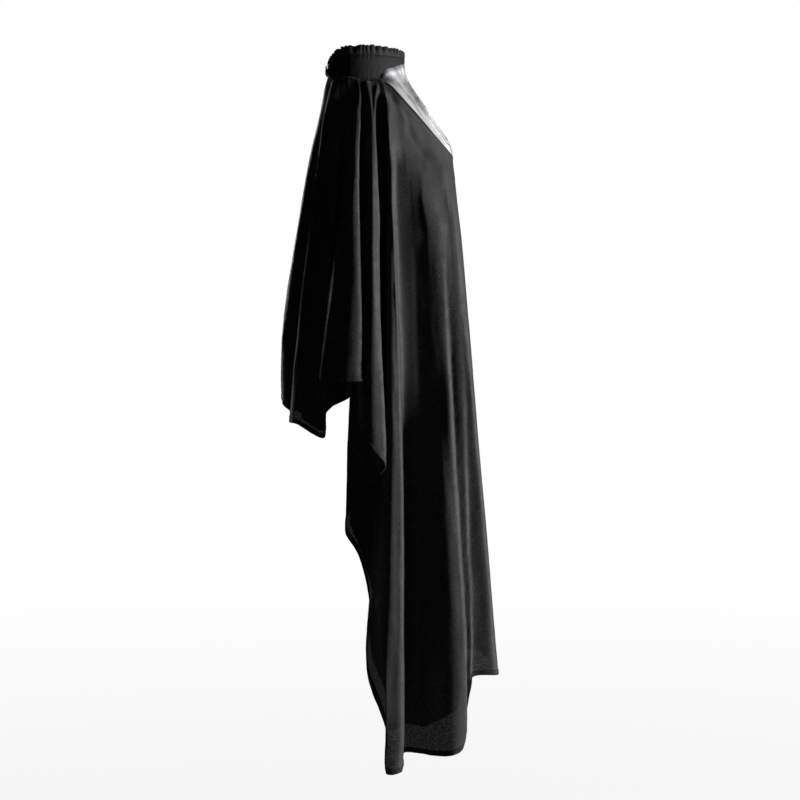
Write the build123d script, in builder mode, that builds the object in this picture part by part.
from build123d import *
import os
from math import cos, hypot, pi, radians, sin

# Barber cape, worn shape. Millimetres, +Z up, +X is the wearer's front,
# +Y the wearer's left. Origin: centre of the neck opening, half way up the
# grip band that holds the cape on the neck. Angles are in degrees from the
# front, positive towards the wearer's left.

# ---- collar layers, from the neck outwards --------------------------------
NECK_R = 61.0                # inside radius of the grip lining (about 38 cm neck)
LAYER_GAP = 0.2
LINING_T, ELASTIC_T, FACING_T = 1.0, 1.2, 1.4
ELASTIC_R = NECK_R + LINING_T + LAYER_GAP
FACING_R = ELASTIC_R + ELASTIC_T + LAYER_GAP
FACING_OUTER_R = FACING_R + FACING_T

# Heights as (bottom, top)
GRIP_H = 20.0
ELASTIC_EDGE = 1.0           # elastic stops this far inside each edge of the grip
GRIP_Z = (-GRIP_H / 2, GRIP_H / 2)
ELASTIC_Z = (GRIP_Z[0] + ELASTIC_EDGE, GRIP_Z[1] - ELASTIC_EDGE)
FACING_FRONT_Z = (-26.0, 17.0)  # front band reaches down behind the cloth seam
FACING_BACK_Z = (-12.0, 12.0)
FRILL_LIFT = 0.4             # frill starts this far above the facing
FRILL_FRONT_Z = (FACING_FRONT_Z[1] + FRILL_LIFT, 33.0)
FRILL_BACK_Z = (FACING_BACK_Z[1] + FRILL_LIFT, 27.0)

# Angles
SPLIT_ANGLE = 140.0          # where the rear half-collars hinge
SPLIT_HALF = 0.8             # half gap at the split
NAPE_HALF = 3.0              # half opening at the nape
FRONT_END = SPLIT_ANGLE - SPLIT_HALF
BACK_START, BACK_END = SPLIT_ANGLE + SPLIT_HALF, 180.0 - NAPE_HALF
ELASTIC_END = 1.0            # elastic stops this many degrees short of a band end
ELASTIC_LEFT_END = 9.0       # end of the short rear left elastic, past BACK_START
FRILL_FRONT_END = 2.0        # degrees the frills stop short of the split
FRILL_BACK_END = 4.0

FRILL_R, FRILL_AMP, FRILL_T = 64.0, 1.3, 1.2
FRILL_PITCH = 9.0            # degrees per gather
FRILL_STEPS = 6              # curve points per gather

# Wedge cut from the lower rear of the front neckband, as (x, z)
NECKBAND_CUT = [(-90, -12), (-44, -12), (-6, -27), (-6, -60), (-90, -60)]
CUT_HALF_WIDTH = 100

# ---- closing tab and press studs ------------------------------------------
TAB_FREE, TAB_ROOT = 157.0, 193.0    # free end, sewn root
TAB_R, TAB_T, TAB_H = 67.7, 1.4, 14.0
TAB_HOLE_R = 1.5
TAB_HOLE_START, TAB_HOLE_DEPTH = TAB_R - 2, 6

STUD_PITCH = 9.0
STUD_ANGLES = [171.5 - STUD_PITCH * i for i in range(3)]  # a row, so the neck is adjustable
SOCKET_ANGLES = STUD_ANGLES[:2]
STUD_SEAT = FACING_OUTER_R + 0.1
STUD_R, STUD_T = 4.4, 0.7
PIN_R, PIN_H = 1.8, 1.4
BACK_SEAT, BACK_R, BACK_T = ELASTIC_R + 0.35, 3.6, 0.8
SOCKET_SEAT, SOCKET_R, SOCKET_T = TAB_R - 0.95, STUD_R - 0.6, 0.75
RECESS_R, RECESS_DEPTH = 2.2, 0.3
CAP_SEAT, CAP_R, CAP_T = TAB_R + TAB_T + 0.15, STUD_R + 0.8, 1.2
CAP_TAPER = 25               # degrees

# ---- cloth ----------------------------------------------------------------
CLOTH_T = 2.0                # drawn thickness of the cloth, lined up on its middle
HALF_CLOTH = CLOTH_T / 2
FILM_T = 0.8
HEM_W = 8.0                  # width of the folded and stitched hem
SEWN_GAP = 0.25              # clearance drawn between two sewn pieces
SPAN_STEPS = 2               # curve samples per span between two plan points

COLLAR_ZONE_Z = -30          # above this height the cloth edges follow the collar
CLOTH_NECK_R = 67.2
SIDE_NECK_ANGLE, FLAP_NECK_ANGLE = 139.6, 141.0
HINGE_TOP = (-52.0, 43.5, 0.0)       # x, sideways distance, z
HINGE_LOW = (-119.0, 112.0, -587.0)
HINGE_REACH = 1.1            # the line runs on by a tenth, then hangs straight
HINGE_GAP = 1.8              # cloth ends this far short of the hinge line
FLAP_BOW = (0.8, 0.4)        # outward shift (x, sideways) of the flap's added middle point
FLAP_EDGE_SHARE = 0.55       # place of the added point between rear fold and slit

# Slit facing: side view rectangle, and how far it reaches from the slit plane
SLIT_FACING_T = 1.0
SLIT_FACING_CENTRE, SLIT_FACING_SIZE = (-120, -310), (200, 570)
SLIT_FACING_REACH = 19.0

# Window and the tape that binds its edge
WINDOW_X = (20, 300)         # extent of the cutting prism along x
WINDOW_TOP = -5
WINDOW_INSET = 0.6           # film edge inside the hole in the cloth
TAPE_T = 1.2
TAPE_HALF_W = 4.5
TAPE_TOP = -19
TAPE_CUT_SIZE, TAPE_CUT_H = 400, 40
CHEST_LOW = -250             # lowest section needed for window and tape
CHEST_SPANS = 8              # spans either side of the centre front

# Folds of one half of the cape, from the hinge line round to the centre
# front: (x, sideways distance) at each height z.
SIDE_NECK = [
    (-48.5, 46.5), (-45, 50), (-41.5, 53), (-37.5, 55.5), (-32.5, 59), (-27.5, 61.5), (-23, 63),
    (-17.5, 65), (-11.5, 66), (-6, 67), (0, 67), (4.5, 67), (10.5, 66.5), (15, 65.5),
    (19.5, 64.5), (24, 62.5), (28.5, 61), (38.5, 55), (47.5, 47.5), (55.5, 37.5), (62.5, 25),
    (66, 13), (67, 0)]
SIDE = {
    -14: SIDE_NECK,
    -24: SIDE_NECK,
    -50: [
        (-61, 68), (-54, 78.5), (-41.5, 85), (-36, 87.5), (-26.5, 90), (-21.5, 92), (-18.5, 93.5),
        (-14, 95.5), (-9, 102), (-5, 95), (5.5, 97), (11, 99.5), (20.5, 98), (27.5, 100),
        (30.5, 100.5), (37.5, 98), (41, 93), (59, 78), (66, 71), (76.5, 58), (86.5, 41),
        (93, 21), (95.5, 0)],
    -90: [
        (-69, 101.5), (-58, 121), (-43.5, 128), (-36, 126.5), (-25, 134), (-20, 140.5),
        (-18.5, 147), (-13.5, 155), (-7, 157), (-3.5, 146), (12, 155), (16.5, 154.5),
        (28.5, 144), (34.5, 145.5), (37.5, 149.5), (41, 156.5), (44, 158.5), (92, 87), (98, 78),
        (106.5, 63.5), (114.5, 45), (119.5, 23.5), (121.5, 0)],
    -150: [
        (-77.5, 120), (-62.5, 141.5), (-46.5, 149), (-38, 142), (-23, 146), (-21.5, 157.5),
        (-23.5, 170), (-15.5, 184.5), (-6.5, 188.5), (-4, 163), (15, 186), (21, 185.5),
        (30.5, 162), (36.5, 152), (39.5, 160), (43.5, 183.5), (46.5, 187.5), (78.5, 157),
        (118, 129), (125.5, 102), (134, 78), (147, 28.5), (150, 0)],
    -250: [
        (-88.5, 133), (-70, 157), (-49, 164.5), (-43.5, 139.5), (-23, 142.5), (-28.5, 164.5),
        (-33, 187.5), (-19.5, 203), (-6, 203), (-6.5, 166), (17, 203), (23, 199), (26, 162),
        (30.5, 143), (37.5, 148.5), (48, 192), (52, 202.5), (91, 162), (130.5, 145.5),
        (137, 112), (152.5, 89), (156.5, 37), (160, 0)],
    -400: [
        (-104, 148.5), (-81.5, 172), (-56, 177.5), (-51, 137.5), (-25.5, 136.5), (-38.5, 168),
        (-54.5, 204), (-29, 219.5), (-4, 217), (-9, 166), (19, 217.5), (28, 214), (13, 158),
        (14, 132), (29.5, 135.5), (49.5, 194), (58.5, 212.5), (101, 159), (138.5, 152),
        (142.5, 114), (164, 95), (171, 39.5), (174.5, 0)],
    -560: [
        (-118, 159), (-92.5, 182), (-63, 186), (-60, 134.5), (-29, 129), (-48.5, 170),
        (-71.5, 212), (-37, 230), (-2, 224), (-11, 166), (22.5, 229), (34.5, 224), (-2.5, 155),
        (-2, 126), (19.5, 128), (48, 192), (63.5, 220.5), (106.5, 155.5), (143.5, 157),
        (146.5, 112), (168.5, 98.5), (184.5, 41), (188, 0)],
    -700: [
        (-121, 162), (-95, 184), (-65, 186), (-61.5, 134), (-29, 129), (-48.5, 170),
        (-71.5, 212), (-37, 230), (-2, 224), (-11, 166), (25, 232), (35.5, 226), (-11.5, 154),
        (-8.5, 124), (13.5, 126), (43, 190), (66, 222), (108.5, 154), (151, 163.5), (151, 112),
        (171, 102.5), (196.5, 42.5), (200.5, 0)],
    -900: [
        (-121, 162), (-95, 184), (-65, 186), (-61.5, 134), (-29, 129), (-48.5, 170),
        (-71.5, 212), (-37, 230), (-2, 224), (-11, 166), (25, 232), (35.5, 226), (-12, 154),
        (-9.5, 124), (9.5, 127.5), (31, 187.5), (66.5, 222), (111.5, 151), (163.5, 168),
        (163, 112), (178.5, 105.5), (211, 46), (217, 0)],
    -1180: [
        (-121, 162), (-95, 184), (-65, 186), (-61.5, 134), (-29, 129), (-48.5, 170),
        (-71.5, 212), (-37, 230), (-2, 224), (-11, 166), (25, 232), (35.5, 226), (-12, 154),
        (-9.5, 124), (9.5, 128), (38, 180), (60, 218), (112, 148), (166, 166), (167.5, 112),
        (177.5, 106), (218.5, 48), (228, 0)],
}
# Rear flap of one half at each height z: rear fold, then edge of the back
# slit, as (x, sideways distance).
FLAP = {
    -14: [(-63.5, 22), (-67, 3.5)],
    -24: [(-63.5, 22), (-67, 3.5)],
    -50: [(-70, 28), (-73, 4.5)],
    -90: [(-75.5, 38.5), (-79.5, 6)],
    -150: [(-86, 49), (-91, 6)],
    -250: [(-102, 59.5), (-108.5, 6)],
    -400: [(-123.5, 74.5), (-130.5, 6)],
    -560: [(-134, 88.5), (-143.5, 6)],
    -650: [(-137, 92), (-148, 6)],
}
# Window outline seen from the front, one half: (sideways, z).
WINDOW = [
    (64, -22), (68, -26), (72, -31), (77, -38), (82, -50), (87, -67), (90, -86),
    (88, -107), (80, -124), (66, -135), (50, -143), (28, -147), (0, -148)]
# Hem lines seen from the side. Each slab is (nearest, farthest sideways
# distance, line); line points are (x, z, share of the hem width added to x,
# share added to z).
CAPE_HEM = [
    (195.0, 320.0, [
        (-160, -533, 0, 1), (-5, -535, 0, 1), (2, -572, 0, 1), (38, -671, 0, 1),
        (41, -676, 0, 1), (41, -1167, 0, 1), (64, -1165, 0, 1), (69, -1147, 0, 1),
        (320, -1147, 0, 1)]),
    (160.0, 195.0, [
        (-160, -597, 0, 1), (-121, -601, 0, 1), (-95, -617, 0, 1), (-59, -626, 0, 1),
        (-58.5, -538, 0, 1), (-15, -540, 0, 1), (-10, -566, 0, 1), (5, -640, 0, 1),
        (19, -690, 0, 1), (20, -1070, 1, 0), (45, -1166, 0.5, 1), (64, -1165, 0, 1),
        (69, -1147, 0, 1), (90, -1142, 0, 1), (141, -1150, 0, 1), (166, -1128, 0, 1),
        (320, -1120, 0, 1)]),
    (0.0, 160.0, [
        (-160, -592, 0, 1), (-60, -586, 0, 1), (-19, -562, 0, 1), (-18, -795, 0.9, 0.5),
        (9, -906, 0.9, 0.4), (20, -1070, 1, 0.2), (45, -1166, 0.5, 1), (141, -1150, 0, 1),
        (166, -1128, 0, 1), (169, -1098, 0, 1), (177, -1045, 0, 1), (320, -1030, 0, 1)]),
]
FLAP_HEM = [(0.0, 200.0, [(-240, -532, 0, 1), (-143, -562, 0, 1), (-100, -600, 0, 1)])]
HEM_FLOOR = -1400            # bottom of the hem cutting regions, below all cloth


# ---- plan geometry ----------------------------------------------------------
def on_circle(radius, angle):
    return (radius * cos(radians(angle)), radius * sin(radians(angle)))


def unit(start, end):
    """Direction from start to end, with length one."""
    length = hypot(end[0] - start[0], end[1] - start[1])
    return ((end[0] - start[0]) / length, (end[1] - start[1]) / length)


def hinge(z):
    """Point of the hinge line at height z, as (x, sideways distance)."""
    share = (z - HINGE_TOP[2]) / (HINGE_LOW[2] - HINGE_TOP[2])
    share = min(max(share, 0.0), HINGE_REACH)
    return tuple(HINGE_TOP[c] + share * (HINGE_LOW[c] - HINGE_TOP[c]) for c in (0, 1))


def cloth_start(z, neck_angle, target):
    """First point of a cloth row: on the collar, or just short of the hinge line."""
    if z >= COLLAR_ZONE_Z:
        return on_circle(CLOTH_NECK_R, neck_angle)
    x, side = hinge(z)
    along = unit((x, side), target)
    return (x + along[0] * HINGE_GAP, side + along[1] * HINGE_GAP)


def blend(start, end, knot_start, knot_end, knot):
    """Point on the line through start and end, placed by its knot value."""
    width = knot_end - knot_start
    return tuple((knot_end - knot) / width * a + (knot - knot_start) / width * b
                 for a, b in zip(start, end))


def smooth(points):
    """Centripetal Catmull-Rom curve through the points, sampled per span."""
    curve = []
    last = len(points) - 2
    for i in range(last + 1):
        p = [points[max(i - 1, 0)], points[i], points[i + 1], points[min(i + 2, last + 1)]]
        t = [0.0]
        for a, b in zip(p, p[1:]):
            t.append(t[-1] + max(hypot(b[0] - a[0], b[1] - a[1]), 1e-6) ** 0.5)
        for k in range(SPAN_STEPS):
            u = t[1] + (t[2] - t[1]) * k / SPAN_STEPS
            chord = blend(p[1], p[2], t[1], t[2], u)
            # The end spans have no neighbour on one side and use the chord there.
            early = late = chord
            if i > 0:
                early = blend(blend(p[0], p[1], t[0], t[1], u), chord, t[0], t[2], u)
            if i < last:
                late = blend(chord, blend(p[2], p[3], t[2], t[3], u), t[1], t[3], u)
            curve.append(blend(early, late, t[1], t[2], u))
    return curve + [points[-1]]


def offset_points(points, dist):
    """Points moved sideways, to the right of the direction of travel."""
    directions = [unit(a, b) for a, b in zip(points, points[1:])]
    moved = []
    for i, (x, y) in enumerate(points):
        before = directions[max(i - 1, 0)]
        after = directions[min(i, len(directions) - 1)]
        along = unit((0, 0), (before[0] + after[0], before[1] + after[1]))
        moved.append((x + along[1] * dist, y - along[0] * dist))
    return moved


def body_row(z, half):
    """Whole row of the main cloth, from the right hinge round the front to the left."""
    side = [cloth_start(z, SIDE_NECK_ANGLE, half[0])] + half[:-1]
    left = [(x, d) for x, d in reversed(side)]
    return [(x, -d) for x, d in side] + [(half[-1][0], 0.0)] + left


def flap_row(z, half):
    """Row of the right rear flap, from the hinge line to the back slit."""
    fold, slit = half
    start = cloth_start(z, FLAP_NECK_ANGLE, fold)
    middle = tuple((start[c] + fold[c]) / 2 - FLAP_BOW[c] for c in (0, 1))
    near_slit = tuple(fold[c] * (1 - FLAP_EDGE_SHARE) + slit[c] * FLAP_EDGE_SHARE
                      for c in (0, 1))
    return [(x, -d) for x, d in (start, middle, fold, near_slit, slit)]


# ---- solids shared by several pieces ----------------------------------------
def cloth_wall(rows, near, far, keep=None):
    """Thin wall between two offsets of the plan rows {z: points}, lofted row by row.
    keep limits it to that many spans either side of the middle point."""
    heights = sorted(rows, reverse=True)
    with BuildPart() as wall:
        for pair in zip(heights, heights[1:]):
            for z in pair:
                middle = smooth(rows[z])
                if keep:
                    centre = len(middle) // 2
                    reach = SPAN_STEPS * keep
                    middle = middle[centre - reach:centre + reach + 1]
                with BuildSketch(Plane.XY.offset(z)):
                    with BuildLine():
                        a = Polyline(*offset_points(middle, near))
                        b = Polyline(*offset_points(middle, far))
                        Line(a @ 0, b @ 0)
                        Line(a @ 1, b @ 1)
                    make_face()
            loft(ruled=True, clean=False)
    return wall.part


def below(slabs, width):
    """Everything below the hem lines, raised by the given hem width."""
    with BuildPart() as region:
        for near, far, line in slabs:
            points = [(x + share_x * width, z + share_z * width)
                      for x, z, share_x, share_z in line]
            points = [(points[0][0], HEM_FLOOR)] + points + [(points[-1][0], HEM_FLOOR)]
            with BuildSketch(Plane.XZ.offset(near)):
                with BuildLine():
                    Polyline(*points, close=True)
                make_face()
            extrude(amount=far - near)
        mirror(about=Plane.XZ)
    return region.part


def hem_regions(slabs):
    """Regions below the cloth edge, the fold line and the stitch line."""
    return [below(slabs, width) for width in (0.0, HEM_W, HEM_W - SEWN_GAP)]


def hem_strip(cloth, below_edge, below_stitch):
    with BuildPart() as strip:
        add(cloth)
        add(below_edge, mode=Mode.SUBTRACT)
        add(below_stitch, mode=Mode.INTERSECT)
    return strip.part


def window_prism(grow):
    """Window outline, grown by an amount, as a prism along x."""
    outline = [(-y, z) for y, z in WINDOW] + [(y, z) for y, z in reversed(WINDOW[:-1])]
    outline = offset_points(smooth(outline), grow)
    with BuildPart() as prism:
        with BuildSketch(Plane.YZ.offset(WINDOW_X[0])):
            with BuildLine():
                Polyline((outline[0][0], WINDOW_TOP), *outline, (outline[-1][0], WINDOW_TOP),
                         close=True)
            make_face()
        extrude(amount=WINDOW_X[1] - WINDOW_X[0])
    return prism.part


def ring_band(inner_r, thickness, start, end, heights):
    """Upright band round the neck between two angles and two heights."""
    with BuildPart() as band:
        with BuildSketch(Plane.XY.offset(heights[0])):
            with BuildLine():
                a = CenterArc((0, 0), inner_r, start, end - start)
                b = CenterArc((0, 0), inner_r + thickness, start, end - start)
                Line(a @ 0, b @ 0)
                Line(a @ 1, b @ 1)
            make_face()
        extrude(amount=heights[1] - heights[0])
    return band.part


def frill(start, end, heights):
    """Upright band whose plan is a wave of gathers."""
    steps = max(int(abs(end - start) / FRILL_PITCH * FRILL_STEPS), 4)
    inner, outer = [], []
    for i in range(steps + 1):
        angle = start + (end - start) * i / steps
        radius = FRILL_R + FRILL_AMP * sin(2 * pi * angle / FRILL_PITCH)
        inner.append(on_circle(radius - FRILL_T / 2, angle))
        outer.append(on_circle(radius + FRILL_T / 2, angle))
    with BuildPart() as band:
        with BuildSketch(Plane.XY.offset(heights[0])):
            with BuildLine():
                a = Spline(*inner)
                b = Spline(*outer)
                Line(a @ 0, b @ 0)
                Line(a @ 1, b @ 1)
            make_face()
        extrude(amount=heights[1] - heights[0])
    return band.part


def radial(angle, radius):
    """Plane facing outwards on the collar at an angle and radius."""
    return Plane(origin=(*on_circle(radius, angle), 0), x_dir=(0, 0, 1),
                 z_dir=(*on_circle(1, angle), 0))


def save(part, name):
    part.label = name
    export_step(part, f"parts/{name}.step")


os.makedirs("parts", exist_ok=True)

# ---- main cloth: front and both sides -----------------------------------
body_rows = {z: body_row(z, half) for z, half in SIDE.items()}
body_cloth = cloth_wall(body_rows, -HALF_CLOTH, HALF_CLOTH)
below_edge, below_fold, below_stitch = hem_regions(CAPE_HEM)

with BuildPart() as cape_panel:
    add(body_cloth)
    add(below_fold, mode=Mode.SUBTRACT)
    add(window_prism(0.0), mode=Mode.SUBTRACT)
save(cape_panel.part, "cape_panel")
save(hem_strip(body_cloth, below_edge, below_stitch), "cape_hem")

# ---- clear window, and the tape on the outside of its edge ----------------
chest_rows = {z: row for z, row in body_rows.items() if z >= CHEST_LOW}
film = cloth_wall(chest_rows, -FILM_T / 2, FILM_T / 2, keep=CHEST_SPANS)
tape_near = HALF_CLOTH + SEWN_GAP
tape = cloth_wall(chest_rows, tape_near, tape_near + TAPE_T, keep=CHEST_SPANS)

with BuildPart() as clear_window:
    add(film)
    add(window_prism(-WINDOW_INSET), mode=Mode.INTERSECT)
save(clear_window.part, "clear_window")

with BuildPart() as window_binding:
    add(tape)
    add(window_prism(TAPE_HALF_W), mode=Mode.INTERSECT)
    add(window_prism(-TAPE_HALF_W), mode=Mode.SUBTRACT)
    with BuildSketch(Plane.XY.offset(TAPE_TOP)):
        Rectangle(TAPE_CUT_SIZE, TAPE_CUT_SIZE)
    extrude(amount=TAPE_CUT_H, mode=Mode.SUBTRACT)
save(window_binding.part, "window_binding")

# ---- front of the collar --------------------------------------------------
facing_front = ring_band(FACING_R, FACING_T, -FRONT_END, FRONT_END, FACING_FRONT_Z)
with BuildPart() as neckband_front:
    add(facing_front)
    with BuildSketch(Plane.XZ.offset(-CUT_HALF_WIDTH)):
        with BuildLine():
            Polyline(*NECKBAND_CUT, close=True)
        make_face()
    extrude(amount=2 * CUT_HALF_WIDTH, mode=Mode.SUBTRACT)
save(neckband_front.part, "neckband_front")

save(ring_band(NECK_R, LINING_T, -FRONT_END, FRONT_END, GRIP_Z), "grip_lining_front")
elastic_end = FRONT_END - ELASTIC_END
save(ring_band(ELASTIC_R, ELASTIC_T, -elastic_end, elastic_end, ELASTIC_Z), "elastic_front")
frill_end = FRONT_END - FRILL_FRONT_END
save(frill(-frill_end, frill_end, FRILL_FRONT_Z), "frill_front")

# ---- rear flaps, hems and slit facings ------------------------------------
flap_rows = {z: flap_row(z, half) for z, half in FLAP.items()}
flap_cloth = cloth_wall(flap_rows, -HALF_CLOTH, HALF_CLOTH)
# The facing lies on the inside of the flap.
facing_near = HALF_CLOTH + SEWN_GAP
flap_facing = cloth_wall(flap_rows, facing_near, facing_near + SLIT_FACING_T)
flap_below_edge, flap_below_fold, flap_below_stitch = hem_regions(FLAP_HEM)

with BuildPart() as back_flap:
    add(flap_cloth)
    add(flap_below_fold, mode=Mode.SUBTRACT)

with BuildPart() as slit_facing:
    add(flap_facing)
    add(flap_below_edge, mode=Mode.SUBTRACT)
    with BuildSketch(Plane.XZ):
        with Locations(SLIT_FACING_CENTRE):
            Rectangle(*SLIT_FACING_SIZE)
    extrude(amount=SLIT_FACING_REACH, mode=Mode.INTERSECT)

for name, right_part in (
    ("back_flap", back_flap.part),
    ("back_hem", hem_strip(flap_cloth, flap_below_edge, flap_below_stitch)),
    ("slit_facing", slit_facing.part),
):
    save(right_part, f"{name}_right")
    with BuildPart() as left_piece:
        add(right_part.mirror(Plane.XZ))
    save(left_piece.part, f"{name}_left")

# ---- rear half-collars ----------------------------------------------------
for side, start, end in (("right", -BACK_END, -BACK_START), ("left", BACK_START, BACK_END)):
    save(ring_band(FACING_R, FACING_T, start, end, FACING_BACK_Z), f"neckband_back_{side}")
    save(ring_band(NECK_R, LINING_T, start, end, GRIP_Z), f"grip_lining_back_{side}")

# The left elastic stops short of the stud backs.
for side, start, end in (
    ("right", -BACK_END + ELASTIC_END, -BACK_START - ELASTIC_END),
    ("left", BACK_START + ELASTIC_END, BACK_START + ELASTIC_LEFT_END),
):
    save(ring_band(ELASTIC_R, ELASTIC_T, start, end, ELASTIC_Z), f"elastic_back_{side}")

frill_start = BACK_START + FRILL_BACK_END
save(frill(-BACK_END, -frill_start, FRILL_BACK_Z), "frill_back_right")
save(frill(frill_start, BACK_END, FRILL_BACK_Z), "frill_back_left")

# ---- press studs on the left collar end ----------------------------------
with BuildPart() as snap_studs:
    for angle in STUD_ANGLES:
        with BuildSketch(radial(angle, STUD_SEAT)):
            Circle(STUD_R)
        extrude(amount=STUD_T)
        with BuildSketch(radial(angle, STUD_SEAT)):
            Circle(PIN_R)
        extrude(amount=PIN_H)
save(snap_studs.part, "snap_studs")

with BuildPart() as snap_stud_backs:
    for angle in STUD_ANGLES:
        with BuildSketch(radial(angle, BACK_SEAT)):
            Circle(BACK_R)
        extrude(amount=BACK_T)
save(snap_stud_backs.part, "snap_stud_backs")

# ---- closing tab on the right collar end ---------------------------------
tab_band = ring_band(TAB_R, TAB_T, TAB_FREE, TAB_ROOT, (-TAB_H / 2, TAB_H / 2))
with BuildPart() as closure_tab:
    add(tab_band)
    for angle in SOCKET_ANGLES:
        with BuildSketch(radial(angle, TAB_HOLE_START)):
            Circle(TAB_HOLE_R)
        extrude(amount=TAB_HOLE_DEPTH, mode=Mode.SUBTRACT)
save(closure_tab.part, "closure_tab")

with BuildPart() as snap_sockets:
    for angle in SOCKET_ANGLES:
        with BuildSketch(radial(angle, SOCKET_SEAT)):
            Circle(SOCKET_R)
        extrude(amount=SOCKET_T)
        with BuildSketch(radial(angle, SOCKET_SEAT)):
            Circle(RECESS_R)
        extrude(amount=RECESS_DEPTH, mode=Mode.SUBTRACT)
save(snap_sockets.part, "snap_sockets")

with BuildPart() as snap_caps:
    for angle in SOCKET_ANGLES:
        with BuildSketch(radial(angle, CAP_SEAT)):
            Circle(CAP_R)
        extrude(amount=CAP_T, taper=CAP_TAPER)
save(snap_caps.part, "snap_caps")
